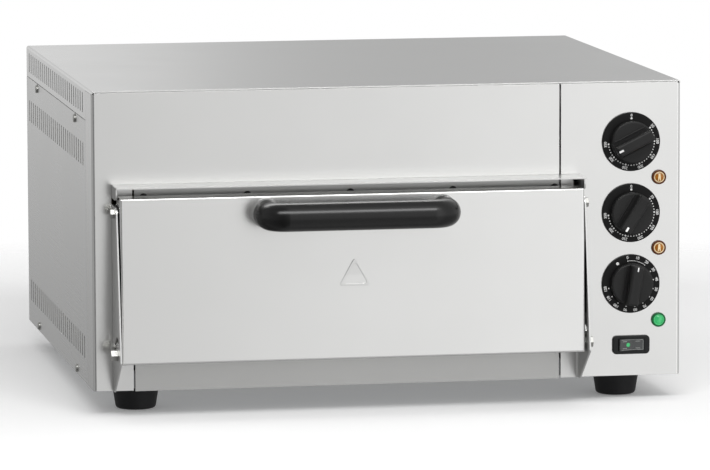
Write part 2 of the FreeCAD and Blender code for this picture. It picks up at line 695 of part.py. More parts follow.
def element_exits(x0, x1, radius):
    """Holes on the chamber's right for both ends of both elements and for the probes."""
    holes = []
    last = ELEMENT_Y + ELEMENT_PITCH * (ELEMENT_RUNS - 1)
    for z in ELEMENT_Z.values():
        for y in (ELEMENT_Y, last):
            holes.append(rod_x(x0, x1, y, z, radius))
        holes.append(rod_x(x0, x1, PROBE_Y, z, 2.5))
    return group(holes)


def chamber_liner():
    """Folded steel box open at the front."""
    x0, x1 = DOOR_MID - CHAMBER_HALF, DOOR_MID + CHAMBER_HALF
    shell = box(
        x0 - SHEET,
        x1 + SHEET,
        SHEET,
        CHAMBER_DEPTH + SHEET,
        CHAMBER_FLOOR - SHEET,
        CHAMBER_CEILING + SHEET,
    )
    shell = shell.cut(box(x0, x1, 0, CHAMBER_DEPTH, CHAMBER_FLOOR, CHAMBER_CEILING))
    return shell.cut(element_exits(x1 - 1, x1 + 3, ELEMENT_R + 0.3))


def partition_plate():
    """Heat shield between the chamber and the control compartment."""
    x0, x1 = PARTITION_X, PARTITION_X + SHEET
    low, high = 2 * SHEET + 2 * PANEL_GAP, FASCIA_TOP - SHEET - 1
    plate = box(x0, x1, 18, DEPTH - 6, low, high)
    foot_flange = box(x0, x0 + 14, 18, DEPTH - 6, low, low + SHEET)
    plate = fuse([plate, foot_flange])
    return plate.cut(element_exits(x0 - 1, x1 + 1, ELEMENT_R + 0.3))


def chamber_supports():
    """Two folded bearers across the base tray under the chamber."""
    bearers = []
    low = 2 * SHEET + PANEL_GAP
    for y in (90, 330):
        web = box(60, 430, y, y + SHEET, low, CHAMBER_FLOOR - SHEET)
        top = box(60, 430, y, y + 20, CHAMBER_FLOOR - 2 * SHEET, CHAMBER_FLOOR - SHEET)
        lower = box(60, 430, y, y + 20, low, low + SHEET)
        bearers.append(fuse([web, top, lower]))
    return group(bearers)


def insulation_top():
    return box(DOOR_MID - 201, DOOR_MID + 201, 16, 455, CHAMBER_CEILING + SHEET, 226)


def insulation_bottom():
    """Slabs between and beside the bearers."""
    low, high = 2 * SHEET + PANEL_GAP + 0.2, CHAMBER_FLOOR - SHEET
    slabs = [box(DOOR_MID - 201, 440, y0, y1, low, high) for y0, y1 in ((16, 89), (111, 329), (351, 455))]
    slabs[0] = slabs[0].cut(foot_nut_room()).cut(box(0, 600, 0, 2 * SHEET, 0, 50))
    slabs[2] = slabs[2].cut(foot_nut_room())
    return group(slabs)


def foot_nut_room():
    rooms = []
    for x in FOOT_X:
        for y in FOOT_Y:
            rooms.append(rod_z(x, y, 0, 14, 8))
    return group(rooms)


def insulation_sides():
    left = box(5, DOOR_MID - 201.4, 44, 455, 26, 226)
    right = box(DOOR_MID + 201.4, PARTITION_X - 0.2, 20, 455, 46, 226)
    return group([left, right.cut(element_exits(440, 460, ELEMENT_R + 0.3))])


def insulation_rear():
    return box(DOOR_MID - 201, DOOR_MID + 201, CHAMBER_DEPTH + SHEET, 455, CHAMBER_FLOOR - 1, CHAMBER_CEILING + 1)


def baking_stone():
    stone = box(DOOR_MID - 195, DOOR_MID + 195, 12, 402, STONE_TOP - STONE_THICK, STONE_TOP)
    upper = [e for e in stone.Edges if all(abs(v.Z - STONE_TOP) < 0.01 for v in e.Vertexes)]
    return stone.makeChamfer(1.5, upper)


def stone_rails():
    """Angles on the chamber's side walls that carry the stone."""
    wall = DOOR_MID - CHAMBER_HALF
    shelf = box(wall, wall + 15, 8, 406, STONE_TOP - STONE_THICK - SHEET, STONE_TOP - STONE_THICK)
    rim = box(wall, wall + SHEET, 8, 406, STONE_TOP - STONE_THICK - SHEET, STONE_TOP - 2)
    rail = fuse([shelf, rim])
    return group([rail, mirrored(rail)])


def heating_element(z):
    """Tubular element in a serpentine with both ends through the chamber's right wall."""
    left, right = ELEMENT_X
    edges = []
    radius = ELEMENT_PITCH / 2
    for i in range(ELEMENT_RUNS):
        y = ELEMENT_Y + ELEMENT_PITCH * i
        far = TERMINAL_X if i in (0, ELEMENT_RUNS - 1) else right
        ends = [Vector(far, y, z), Vector(left, y, z)]
        if i % 2:
            ends.reverse()
        edges.append(Part.makeLine(*ends))
        if i < ELEMENT_RUNS - 1:
            side = left if i % 2 == 0 else right
            bulge = -radius if i % 2 == 0 else radius
            arc = Part.Arc(
                Vector(side, y, z),
                Vector(side + bulge, y + radius, z),
                Vector(side, y + ELEMENT_PITCH, z),
            )
            edges.append(arc.toShape())
    start = Vector(TERMINAL_X, ELEMENT_Y, z)
    section = Part.Wire(Part.makeCircle(ELEMENT_R, start, Vector(1, 0, 0)))
    tube = Part.Wire(edges).makePipeShell([section], True, True)
    caps = []
    for i in (0, ELEMENT_RUNS - 1):
        y = ELEMENT_Y + ELEMENT_PITCH * i
        caps.append(rod_x(TERMINAL_X - 0.5, TERMINAL_X + 12, y, z, 1.8))
    return fuse([tube] + caps)


def element_brackets():
    """Comb plates that hold both elements, three on the ceiling and three on the floor."""
    plates = []
    for x in (DOOR_MID - 118, DOOR_MID, DOOR_MID + 118):
        for z, low, high in (
            (ELEMENT_Z["upper"], 154.5, CHAMBER_CEILING),
            (ELEMENT_Z["lower"], CHAMBER_FLOOR, 57.0),
        ):
            plate = box(x, x + 1.5, 48, 388, low, high)
            for i in range(ELEMENT_RUNS):
                y = ELEMENT_Y + ELEMENT_PITCH * i
                plate = plate.cut(rod_x(x - 1, x + 3, y, z, ELEMENT_R + 0.1))
            plates.append(plate)
    return group(plates)


def thermostat_probes():
    """Sensor bulbs on the chamber's right wall with capillaries to the thermostats."""
    probes = []
    for key, z in (("top", ELEMENT_Z["upper"]), ("bottom", ELEMENT_Z["lower"])):
        bulb = rod_y(PROBE_X, PROBE_Y + 14, PROBE_Y + 94, z, 3)
        body_z = KNOB_Z[key] + 16.0
        route = [
            Vector(PROBE_X, PROBE_Y + 15, z),
            Vector(PROBE_X, PROBE_Y, z),
            Vector(484, PROBE_Y, z),
            Vector(484, PROBE_Y - 50, body_z),
            Vector(KNOB_X - 10, 42, body_z),
        ]
        probes.append(fuse([bulb, bent_tube(route, 0.9, 9)]))
    return group(probes)


# ---------------------------------------------------------------- controls


def control_body(z, half, depth):
    """Square switch body behind the panel with the bush that its spindle turns in."""
    body = box(KNOB_X - half, KNOB_X + half, 4, 4 + depth, z - half, z + half)
    bush = rod_y(KNOB_X, 0.2, 5, z, 5.0)
    nut = hexagon_y(KNOB_X, SHEET, 4, z, 13)
    tabs = [
        box(KNOB_X + dx - 3, KNOB_X + dx + 3, 3 + depth, 13 + depth, z - 0.4, z + 0.4)
        for dx in (-half / 2, half / 2)
    ]
    body = fuse([body, bush, nut] + tabs)
    return body.cut(rod_y(KNOB_X, -1, 20, z, SPINDLE_R + RUNNING_FIT))


def thermostat_bodies():
    return group([control_body(KNOB_Z[key], 17, 32) for key in ("top", "bottom")])


def timer_body():
    return control_body(KNOB_Z["timer"], 22, 38)


def spindle(key):
    return rod_y(KNOB_X, -12, 18, KNOB_Z[key], SPINDLE_R)


def dial_plate(key):
    """Fixed scale ring behind a knob."""
    z = KNOB_Z[key]
    disc = rod_y(KNOB_X, -2.4, 0, z, DIAL_R)
    rim = [e for e in disc.Edges if len(e.Vertexes) == 1 and abs(e.CenterOfMass.y + 2.4) < 0.01]
    disc = disc.makeFillet(0.9, rim)
    return disc.cut(rod_y(KNOB_X, -5, 3, z, 5.2))


def knob(key):
    """Round knob with a raised grip bar, set to its pointer's angle."""
    z = KNOB_Z[key]
    disc = rod_y(KNOB_X, -10.5, -2.8, z, KNOB_R)
    disc = rounded_rim(disc, -10.5, 1.6)
    grip = box(KNOB_X - 5.5, KNOB_X + 5.5, -23.0, -9, z - 19.2, z + 19.2)
    long_edges = [e for e in grip.Edges if all(abs(v.Y + 23) < 0.01 for v in e.Vertexes)]
    grip = grip.makeFillet(2.2, long_edges)
    round_ends = rod_y(KNOB_X, -24, -8, z, KNOB_R - 0.9)
    piece = fuse([disc, grip.common(round_ends)])
    piece = piece.cut(rod_y(KNOB_X, -12, 0, z, SPINDLE_R))
    piece.rotate(Vector(KNOB_X, 0, z), Vector(0, 1, 0), KNOB_POINTER[key])
    return piece


def lamp_holders():
    holders = []
    for z in LAMP_Z.values():
        ring = rounded_rim(rod_y(LAMP_X, -2.2, 0, z, LAMP_R), -2.2, 0.8)
        barrel = rod_y(LAMP_X, -1, 26, z, 5.4)
        holder = fuse([ring, barrel])
        holders.append(holder.cut(rod_y(LAMP_X, -3, 4, z, 4.9)))
    return group(holders)


def lamp_lens(key):
    z = LAMP_Z[key]
    body = rod_y(LAMP_X, -1.6, 4, z, 4.85)
    dome = Part.makeSphere(8.5, Vector(LAMP_X, 5.4, z)).common(rod_y(LAMP_X, -4, 0, z, 4.85))
    return fuse([body, dome])


def switch_housing():
    """Rounded frame and box of the mains switch."""
    half_x, half_z = SWITCH_SIZE[0] / 2, SWITCH_SIZE[1] / 2
    x0, x1 = SWITCH_X - half_x, SWITCH_X + half_x
    z0, z1 = SWITCH_Z - half_z, SWITCH_Z + half_z
    frame = box(x0, x1, -2.6, 0, z0, z1)
    frame = rounded(frame, 4.0, "y", (x0, z0), (x0, z1), (x1, z0), (x1, z1))
    rim = [e for e in frame.Edges if all(abs(v.Y + 2.6) < 0.01 for v in e.Vertexes)]
    frame = frame.makeFillet(1.2, rim)
    cavity_x, cavity_z = SWITCH_CAVITY[0] / 2, SWITCH_CAVITY[1] / 2
    body = box(
        SWITCH_X - cavity_x - 1.2,
        SWITCH_X + cavity_x + 1.2,
        -0.5,
        24,
        SWITCH_Z - cavity_z - 1.2,
        SWITCH_Z + cavity_z + 1.2,
    )
    hollow = box(
        SWITCH_X - cavity_x,
        SWITCH_X + cavity_x,
        -5,
        18,
        SWITCH_Z - cavity_z,
        SWITCH_Z + cavity_z,
    )
    return fuse([frame, body]).cut(hollow)


def tilted(shape):
    """Turn a piece of the rocker to its switched-on side."""
    shape.rotate(Vector(SWITCH_X, ROCKER_AXIS_Y, SWITCH_Z), Vector(0, 0, 1), ROCKER_TILT)
    return shape


def power_rocker():
    """Rocker with two faces that meet at its middle, tipped to one side."""
    z0, z1 = SWITCH_Z - 5.7, SWITCH_Z + 5.7
    outline = [
        Vector(SWITCH_X - ROCKER_HALF, 3.6, z0),
        Vector(SWITCH_X - ROCKER_HALF, -3.4, z0),
        Vector(SWITCH_X, -1.2, z0),
        Vector(SWITCH_X + ROCKER_HALF, -3.4, z0),
        Vector(SWITCH_X + ROCKER_HALF, 3.6, z0),
        Vector(SWITCH_X + 8, 10, z0),
        Vector(SWITCH_X - 8, 10, z0),
    ]
    block = Part.Face(Part.makePolygon(outline + outline[:1])).extrude(Vector(0, 0, z1 - z0))
    window = rocker_lamp_shape(0.0)
    return tilted(block.cut(window))


def rocker_lamp_shape(clear):
    offset, radius = ROCKER_LAMP
    return rod_y(SWITCH_X + offset, -4, 0.5, SWITCH_Z, radius - clear)


def rocker_lamp():
    """Small light window in the rocker."""
    block = rocker_lamp_shape(0.05)
    keep = [
        Vector(SWITCH_X - ROCKER_HALF, -3.5, SWITCH_Z - 5),
        Vector(SWITCH_X, -1.3, SWITCH_Z - 5),
        Vector(SWITCH_X, 2, SWITCH_Z - 5),
        Vector(SWITCH_X - ROCKER_HALF, 2, SWITCH_Z - 5),
    ]
    region = Part.Face(Part.makePolygon(keep + keep[:1])).extrude(Vector(0, 0, 10))
    return tilted(block.common(region))


def terminal_block():
    """Porcelain-style mains terminal on the base tray."""
    low = 3 * SHEET + 2 * PANEL_GAP
    body = box(490, 540, 420, 444, low + 0.2, low + 22)
    return body.cut(group([rod_z(500 + 15 * i, 432, low + 10, low + 30, 4.2) for i in range(3)]))


def internal_wiring():
    """Leads from the mains terminal to the controls, the lamps and the elements."""
    leads = []
    start_z = 26.0
    last = ELEMENT_Y + ELEMENT_PITCH * (ELEMENT_RUNS - 1)
    routes = [
        [Vector(500, 432, start_z + 6), Vector(500, 432, 110), Vector(500, 60, 110)],
        [Vector(515, 432, start_z + 6), Vector(515, 432, 196), Vector(515, 54, 196)],
        [Vector(530, 432, start_z + 6), Vector(530, 432, 75), Vector(530, 48, 75)],
        [Vector(488, last, ELEMENT_Z["upper"]), Vector(488, last, 205), Vector(488, 60, 205)],
        [Vector(488, last, ELEMENT_Z["lower"]), Vector(488, last, 22), Vector(488, 70, 22)],
        [Vector(GLAND_X, 486, GLAND_Z), Vector(GLAND_X, 462, GLAND_Z), Vector(GLAND_X, 462, 60)],
    ]
    for route in routes:
        leads.append(bent_tube(route, 1.3, 10))
    return group(leads)


def cable_gland():
    """Gland for the supply cable, clamped through the back panel."""
    y = DEPTH
    nose = rod_y(GLAND_X, y + 6, y + GLAND_REACH, GLAND_Z, 8.6)
    nose = rounded_rim(nose, y + GLAND_REACH, 2.5)
    hexagon = hexagon_y(GLAND_X, y, y + 7, GLAND_Z, 19)
    thread = rod_y(GLAND_X, y - 10, y + 1, GLAND_Z, 8.0)
    nut = hexagon_y(GLAND_X, y - SHEET - 4, y - SHEET, GLAND_Z, 21)
    gland = fuse([nose, hexagon, thread, nut])
    return gland.cut(rod_y(GLAND_X, y - 20, y + 30, GLAND_Z, GLAND_BORE_R))


save("top_cover", top_cover())
save("left_side_panel", left_side_panel())
save("right_side_panel", casing_mirrored(left_side_panel()))
save("back_panel", back_panel())
save("base_tray", base_tray())
save("front_fascia", front_fascia())
save("control_panel", control_panel())
save("casing_screws", casing_screws())
save("front_feet", group([foot(x, FOOT_Y[0]) for x in FOOT_X]))
save("rear_feet", group([foot(x, FOOT_Y[1]) for x in FOOT_X]))
save("foot_screws", foot_screws())

save("door_ledge", door_ledge())
save("left_hinge_cheek", left_hinge_cheek(FRAME_SEAM_X))
save("right_hinge_cheek", mirrored(left_hinge_cheek(2 * DOOR_MID - PANEL_SEAM_X)))
save("chamber_front_frame", chamber_front_frame())
save("front_frame_screws", front_frame_screws())
save("hinge_bolts", hinge_bolts())
save("catch_bolts", catch_bolts())
save("left_hinge_spring", left_hinge_spring())
save("right_hinge_spring", mirrored(left_hinge_spring()))

save("door_outer_panel", door_outer_panel())
save("door_inner_panel", door_inner_panel())
save("door_insulation", door_insulation())
save("door_hinge_arms", door_hinge_arms())
save("door_stop_pins", door_stop_pins())
save("door_handle", door_handle())
save("handle_screws", handle_screws())

save("chamber_liner", chamber_liner())
save("partition_plate", partition_plate())
save("chamber_supports", chamber_supports())
save("insulation_top", insulation_top())
save("insulation_bottom", insulation_bottom())
save("insulation_sides", insulation_sides())
save("insulation_rear", insulation_rear())
save("baking_stone", baking_stone())
save("stone_rails", stone_rails())
save("upper_heating_element", heating_element(ELEMENT_Z["upper"]))
save("lower_heating_element", heating_element(ELEMENT_Z["lower"]))
save("element_brackets", element_brackets())
save("thermostat_probes", thermostat_probes())

save("thermostat_bodies", thermostat_bodies())
save("timer_body", timer_body())
save("top_heat_spindle", spindle("top"))
save("bottom_heat_spindle", spindle("bottom"))
save("timer_spindle", spindle("timer"))
save("top_heat_dial", dial_plate("top"))
save("bottom_heat_dial", dial_plate("bottom"))
save("timer_dial", dial_plate("timer"))
save("top_heat_knob", knob("top"))
save("bottom_heat_knob", knob("bottom"))
save("timer_knob", knob("timer"))
save("lamp_holders", lamp_holders())
save("amber_lamp_lenses", group([lamp_lens("top"), lamp_lens("bottom")]))
save("green_lamp_lens", lamp_lens("power"))
save("switch_housing", switch_housing())
save("power_rocker", power_rocker())
save("rocker_lamp", rocker_lamp())
save("terminal_block", terminal_block())
save("internal_wiring", internal_wiring())
save("cable_gland", cable_gland())
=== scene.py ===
import json
import math

import bpy
import bmesh
from mathutils import Matrix, Vector
from mathutils.bvhtree import BVHTree


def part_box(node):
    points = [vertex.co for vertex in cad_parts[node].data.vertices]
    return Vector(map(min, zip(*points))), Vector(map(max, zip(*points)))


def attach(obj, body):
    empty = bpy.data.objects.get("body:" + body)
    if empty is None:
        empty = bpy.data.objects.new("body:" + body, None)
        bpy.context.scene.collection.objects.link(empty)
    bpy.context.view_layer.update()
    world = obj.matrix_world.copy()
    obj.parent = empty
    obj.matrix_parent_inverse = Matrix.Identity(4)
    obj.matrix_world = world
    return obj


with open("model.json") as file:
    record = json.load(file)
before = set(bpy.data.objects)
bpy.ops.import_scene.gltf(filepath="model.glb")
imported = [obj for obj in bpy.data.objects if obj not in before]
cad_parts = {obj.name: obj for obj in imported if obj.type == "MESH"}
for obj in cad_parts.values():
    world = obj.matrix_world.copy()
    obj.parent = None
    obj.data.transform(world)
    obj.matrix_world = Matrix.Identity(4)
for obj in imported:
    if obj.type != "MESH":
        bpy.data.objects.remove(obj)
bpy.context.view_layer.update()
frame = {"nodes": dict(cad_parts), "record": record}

MM = 0.001
NODES = frame["nodes"]
MATERIALS = {}


def middle(node):
    """The middle of a node's box."""
    low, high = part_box(node)
    return (low + high) / 2


# ---------------------------------------------------------------- materials


class Shader:
    """A material's node tree with short ways to add and join nodes."""

    def __init__(self, name):
        self.material = bpy.data.materials.new(name)
        self.material.use_nodes = True
        self.tree = self.material.node_tree
        self.nodes = self.tree.nodes
        self.nodes.clear()
        self.surface = self.add("ShaderNodeBsdfPrincipled")
        output = self.add("ShaderNodeOutputMaterial")
        self.join(self.surface.outputs[0], output.inputs["Surface"])
        self.place = self.add("ShaderNodeTexCoord").outputs["Object"]
        MATERIALS[name] = self.material

    def add(self, kind, **settings):
        node = self.nodes.new(kind)
        for key, value in settings.items():
            setattr(node, key, value)
        return node

    def join(self, source, target):
        self.tree.links.new(source, target)

    def set(self, **values):
        for key, value in values.items():
            self.surface.inputs[key.replace("_", " ")].default_value = value

    def scaled(self, scale):
        mapping = self.add("ShaderNodeMapping")
        mapping.inputs["Scale"].default_value = scale
        self.join(self.place, mapping.inputs["Vector"])
        return mapping.outputs[0]

    def noise(self, scale, size=1.0, detail=3.0, rough=0.5, distort=0.0):
        noise = self.add("ShaderNodeTexNoise")
        noise.inputs["Scale"].default_value = size
        noise.inputs["Detail"].default_value = detail
        noise.inputs["Roughness"].default_value = rough
        noise.inputs["Distortion"].default_value = distort
        self.join(self.scaled(scale), noise.inputs["Vector"])
        return noise.outputs["Fac"]

    def ranged(self, value, low, high, from_low=0.3, from_high=0.7):
        span = self.add("ShaderNodeMapRange")
        span.inputs["From Min"].default_value = from_low
        span.inputs["From Max"].default_value = from_high
        span.inputs["To Min"].default_value = low
        span.inputs["To Max"].default_value = high
        self.join(value, span.inputs["Value"])
        return span.outputs[0]

    def mixed(self, factor, first, second, blend="MIX"):
        mix = self.add("ShaderNodeMix", data_type="RGBA", blend_type=blend)
        colours = (mix.inputs[6], first), (mix.inputs[7], second)
        for socket, value in ((mix.inputs[0], factor), *colours):
            if hasattr(value, "is_output"):
                self.join(value, socket)
            elif isinstance(value, float):
                socket.default_value = value
            else:
                socket.default_value = (*value, 1.0)
        return mix.outputs[2]

    def math(self, operation, first, second=0.0):
        node = self.add("ShaderNodeMath", operation=operation)
        for socket, value in zip(node.inputs, (first, second)):
            if hasattr(value, "is_output"):
                self.join(value, socket)
            else:
                socket.default_value = value
        return node.outputs[0]

    def edges(self, radius):
        """1 along sharp edges and 0 on flat faces, with edges rounded by the radius."""
        bevel = self.add("ShaderNodeBevel", samples=4)
        bevel.inputs["Radius"].default_value = radius
        flat = self.add("ShaderNodeNewGeometry")
        dot = self.add("ShaderNodeVectorMath", operation="DOT_PRODUCT")
        self.join(bevel.outputs[0], dot.inputs[0])
        self.join(flat.outputs["Normal"], dot.inputs[1])
        return bevel.outputs[0], self.ranged(dot.outputs["Value"], 1.0, 0.0, 0.9, 0.999)

    def painted_gap_shade(self, distance, low, high):
        """Mask for painted shade: 0 in deep narrow gaps, where shade falls, and 1 on open faces."""
        hidden = self.add("ShaderNodeAmbientOcclusion", samples=6)
        hidden.inputs["Distance"].default_value = distance
        return self.ranged(hidden.outputs["AO"], 0.0, 1.0, low, high)

    def bump(self, height, distance, strength=1.0, normal=None):
        bump = self.add("ShaderNodeBump")
        bump.inputs["Distance"].default_value = distance
        bump.inputs["Strength"].default_value = strength
        self.join(height, bump.inputs["Height"])
        if normal is not None:
            self.join(normal, bump.inputs["Normal"])
        self.join(bump.outputs[0], self.surface.inputs["Normal"])


GRAIN = {"x": (6.0, 2200.0, 2200.0), "y": (2200.0, 6.0, 2200.0), "z": (2200.0, 2200.0, 6.0)}
SHEET_CLOUD = 0.965
# Painted shade: the dark colours given to narrow gaps on metal and on plastic.
METAL_PAINTED_SHADE = (0.02, 0.02, 0.02)
PLASTIC_PAINTED_SHADE = (0.002, 0.002, 0.002)


def times(colour, factor):
    """The colour made darker or brighter, with no channel above 1."""
    return tuple(min(c * factor, 1.0) for c in colour)


def sheet_metal(name, colour, rough, grain, edge=0.0004, streak=0.008, worn=0.08,
                metallic=1.0, shade_gap=0.005):
    """Rolled or brushed sheet: fine straight grain, faint clouding and brighter worn edges.

    Painted shade: gaps narrower than the given distance are coloured near black. Below 1, metallic
    leaves the sheet a little matt.
    """
    s = Shader(name)
    fine = s.noise(GRAIN[grain], detail=2.0)
    cloud = s.noise((6.0, 6.0, 6.0), detail=4.0, rough=0.6)
    rounded, rim = s.edges(edge)
    base = s.mixed(s.ranged(fine, 0.0, 1.0), times(colour, 1 - streak), times(colour, 1 + streak))
    base = s.mixed(s.ranged(cloud, 0.0, 0.35), base, times(colour, SHEET_CLOUD))
    base = s.mixed(rim, base, times(colour, 1 + worn))
    # painted shade: narrow gaps on the sheet are coloured near black
    base = s.mixed(s.painted_gap_shade(shade_gap, 0.06, 0.36), METAL_PAINTED_SHADE, base)
    s.join(base, s.surface.inputs["Base Color"])
    grained = s.ranged(fine, rough - 0.014, rough + 0.014)
    level = s.math("ADD", grained, s.ranged(cloud, -0.015, 0.02))
    smoothed = s.math("SUBTRACT", level, s.math("MULTIPLY", rim, 0.08))
    s.join(smoothed, s.surface.inputs["Roughness"])
    s.bump(fine, 0.000004, 0.25, rounded)
    s.set(Metallic=metallic)
    return s.material


def moulded(name, colour, rough, grit=3500.0, depth=0.00002, edge=0.0004, coat=0.0,
            worn=0.6, other=None, shine=0.5):
    """Moulded plastic or rubber: fine grit, faint colour clouds and slightly paler edges.

    other is (axis, place, width, colour): the plastic has that second colour beyond the place.
    """
    s = Shader(name)
    fine = s.noise((grit, grit, grit), detail=2.0)
    cloud = s.noise((25.0, 25.0, 25.0), detail=3.0)
    rounded, rim = s.edges(edge)
    base = s.mixed(s.ranged(cloud, 0.0, 1.0), times(colour, 0.85), times(colour, 1.15))
    if other:
        axis, place, width, second = other
        split = s.add("ShaderNodeSeparateXYZ")
        s.join(s.place, split.inputs[0])
        beyond = s.ranged(split.outputs[axis], 0.0, 1.0, place - width, place + width)
        base = s.mixed(beyond, base, second)
    pale = s.mixed(1.0, base, (1 + worn,) * 3, "MULTIPLY")
    base = s.mixed(s.math("MULTIPLY", rim, 0.6), base, pale)
    # painted shade: narrow gaps on the plastic are coloured near black
    base = s.mixed(s.painted_gap_shade(0.004, 0.1, 0.5), PLASTIC_PAINTED_SHADE, base)
    s.join(base, s.surface.inputs["Base Color"])
    grained = s.ranged(fine, rough - 0.04, rough + 0.04)
    level = s.math("ADD", grained, s.ranged(cloud, -0.02, 0.02))
    s.join(level, s.surface.inputs["Roughness"])
    s.bump(fine, depth, 0.5, rounded)
    s.set(Coat_Weight=coat, Coat_Roughness=0.12, Specular_IOR_Level=shine)
    return s.material


def fibrous(name, colour):
    """Pressed mineral wool: matted fibres, coloured darker in their hollows as painted shade."""
    s = Shader(name)
    fibre = s.noise((300.0, 300.0, 1400.0), detail=6.0, rough=0.7, distort=1.5)
    cloud = s.noise((30.0, 30.0, 30.0), detail=4.0)
    # painted shade: where the fibre bump is low the wool is coloured darker
    base = s.mixed(s.ranged(fibre, 0.0, 1.0), times(colour, 0.6), colour)
    base = s.mixed(s.ranged(cloud, 0.0, 0.4), base, times(colour, 0.75))
    s.join(base, s.surface.inputs["Base Color"])
    s.join(s.ranged(fibre, 0.85, 1.0), s.surface.inputs["Roughness"])
    s.bump(fibre, 0.0006, 0.9)
    s.set(Sheen_Weight=0.3, Sheen_Roughness=0.6)
    return s.material


def fired_stone(name, colour):
    """Fireclay: fine specks and toasted patches."""
    s = Shader(name)
    speck = s.noise((900.0, 900.0, 900.0), detail=4.0, rough=0.7)
    cloud = s.noise((18.0, 18.0, 18.0), detail=5.0, rough=0.6)
    base = s.mixed(s.ranged(speck, 0.0, 1.0), times(colour, 0.8), times(colour, 1.08))
    toasted = (colour[0] * 0.62, colour[1] * 0.5, colour[2] * 0.38)
    base = s.mixed(s.ranged(cloud, 0.0, 0.35, 0.45, 0.75), base, toasted)
    s.join(base, s.surface.inputs["Base Color"])
    s.join(s.ranged(speck, 0.82, 0.96), s.surface.inputs["Roughness"])
    s.bump(speck, 0.0002, 0.7)
    return s.material


def tinted(name, colour, deep, glow=0.0, rough=0.12):
    """Translucent coloured plastic with faint moulding ripples and a darker tint in its depth."""
    s = Shader(name)
    ripple = s.noise((500.0, 500.0, 500.0), detail=2.0)
    cloud = s.noise((160.0, 160.0, 160.0), detail=3.0)
    s.join(s.mixed(s.ranged(cloud, 0.0, 0.7), colour, deep), s.surface.inputs["Base Color"])
    s.join(s.ranged(ripple, rough - 0.03, rough + 0.05), s.surface.inputs["Roughness"])
    s.bump(ripple, 0.00003, 0.4)
    s.set(Transmission_Weight=0.2, IOR=1.49, Coat_Weight=0.25, Coat_Roughness=0.05)
    if glow:
        s.set(Emission_Color=(*colour, 1.0), Emission_Strength=glow)
    return s.material


STAINLESS = (0.80, 0.80, 0.79)
sheet_metal("stainless_front", STAINLESS, 0.23, "x")
sheet_metal("stainless_top", STAINLESS, 0.21, "x")
# Painted shade: the front frame gets a darker copy of the stainless colour, for the shade on the kick
# below the door.
sheet_metal("stainless_frame_shaded", (0.57, 0.57, 0.56), 0.36, "x", metallic=0.75, shade_gap=0.0015)
sheet_metal("stainless_ledge", STAINLESS, 0.3, "x", edge=0.00012, worn=0.0, shade_gap=0.003)
sheet_metal("stainless_side", STAINLESS, 0.28, "y")
sheet_metal("stainless_cheek", STAINLESS, 0.36, "z")
sheet_metal("galvanised_sheet", (0.55, 0.57, 0.58), 0.5, "x", streak=0.05)
sheet_metal("chamber_steel", (0.42, 0.41, 0.39), 0.45, "y", streak=0.06)
sheet_metal("plated_fasteners", (0.50, 0.50, 0.48), 0.42, "z", edge=0.0003)
sheet_metal("dark_screws", (0.06, 0.06, 0.06), 0.4, "z", edge=0.0003)
sheet_metal("element_sheath", (0.16, 0.15, 0.145), 0.5, "x", streak=0.15)
sheet_metal("copper_capillary", (0.72, 0.42, 0.28), 0.3, "y", streak=0.08)
sheet_metal("spindle_brass", (0.75, 0.6, 0.33), 0.25, "z", streak=0.05)
moulded("black_rubber", (0.014, 0.014, 0.015), 0.6, edge=0.0008, shine=0.25)


def own_point(node, point):
    """A point of the row frame in a node's own coordinates."""
    return NODES[node].matrix_world.inverted() @ Vector(point)


# Painted light: beyond this depth the handle's black plastic is coloured grey, standing in for light
# on the base disc at the door.
HANDLE_DISC_DEPTH = 15.5 * MM
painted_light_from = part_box("door_handle")[1].y - HANDLE_DISC_DEPTH
moulded("black_handle", (0.005, 0.005, 0.005), 0.25, grit=2500.0, shine=0.42,
        other=("Y", own_point("door_handle", (0, painted_light_from, 0)).y, 0.4 * MM, (0.26, 0.26, 0.255)))
moulded("black_knob", (0.014, 0.014, 0.014), 0.4, shine=0.28)
moulded("black_dial", (0.007, 0.007, 0.007), 0.4, shine=0.16)
moulded("control_plastic", (0.66, 0.64, 0.58), 0.5)
moulded("switch_plastic", (0.010, 0.011, 0.011), 0.38, shine=0.25)
moulded("rocker_plastic", (0.055, 0.058, 0.058), 0.25)
moulded("rocker_print", (0.30, 0.31, 0.30), 0.5)
moulded("gland_plastic", (0.025, 0.025, 0.025), 0.5)
moulded("porcelain", (0.82, 0.81, 0.77), 0.18, coat=0.6, worn=0.05)
moulded("wire_insulation", (0.62, 0.57, 0.42), 0.75, grit=1600.0, depth=0.0002)
moulded("scale_print", (0.85, 0.85, 0.84), 0.55, worn=0.0)
fibrous("mineral_wool", (0.72, 0.66, 0.5))
fired_stone("fireclay", (0.78, 0.68, 0.52))
between_lamps = (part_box("amber_lamp_lenses")[0].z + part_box("green_lamp_lens")[1].z) / 2
amber_above = own_point("lamp_holders", (0, 0, between_lamps)).z
moulded("lamp_body", (0.003, 0.11, 0.03), 0.25, shine=0.3,
        other=("Z", amber_above, 2 * MM, (0.085, 0.022, 0.003)))
moulded("lamp_cream", (0.80, 0.62, 0.36), 0.3, coat=0.5, worn=0.05)
tinted("amber_lens", (0.50, 0.19, 0.012), (0.22, 0.06, 0.003), glow=0.05)
tinted("green_lens", (0.07, 0.58, 0.20), (0.02, 0.28, 0.09), glow=0.2)

NODE_MATERIALS = {
    "top_cover": "stainless_top",
    "chamber_front_frame": "stainless_frame_shaded",
    "door_ledge": "stainless_ledge",
    "left_side_panel": "stainless_side",
    "right_side_panel": "stainless_side",
    "left_hinge_cheek": "stainless_cheek",
    "right_hinge_cheek": "stainless_cheek",
}
for subpart in frame["record"]["subparts"]:
    node, slot = subpart["node"], subpart["material_slot"]
    name = NODE_MATERIALS.get(node, "stainless_front" if slot == "stainless_sheet" else slot)
    mesh = NODES[node].data
    mesh.materials.clear()
    mesh.materials.append(MATERIALS[name])


# ---------------------------------------------------------------- added detail

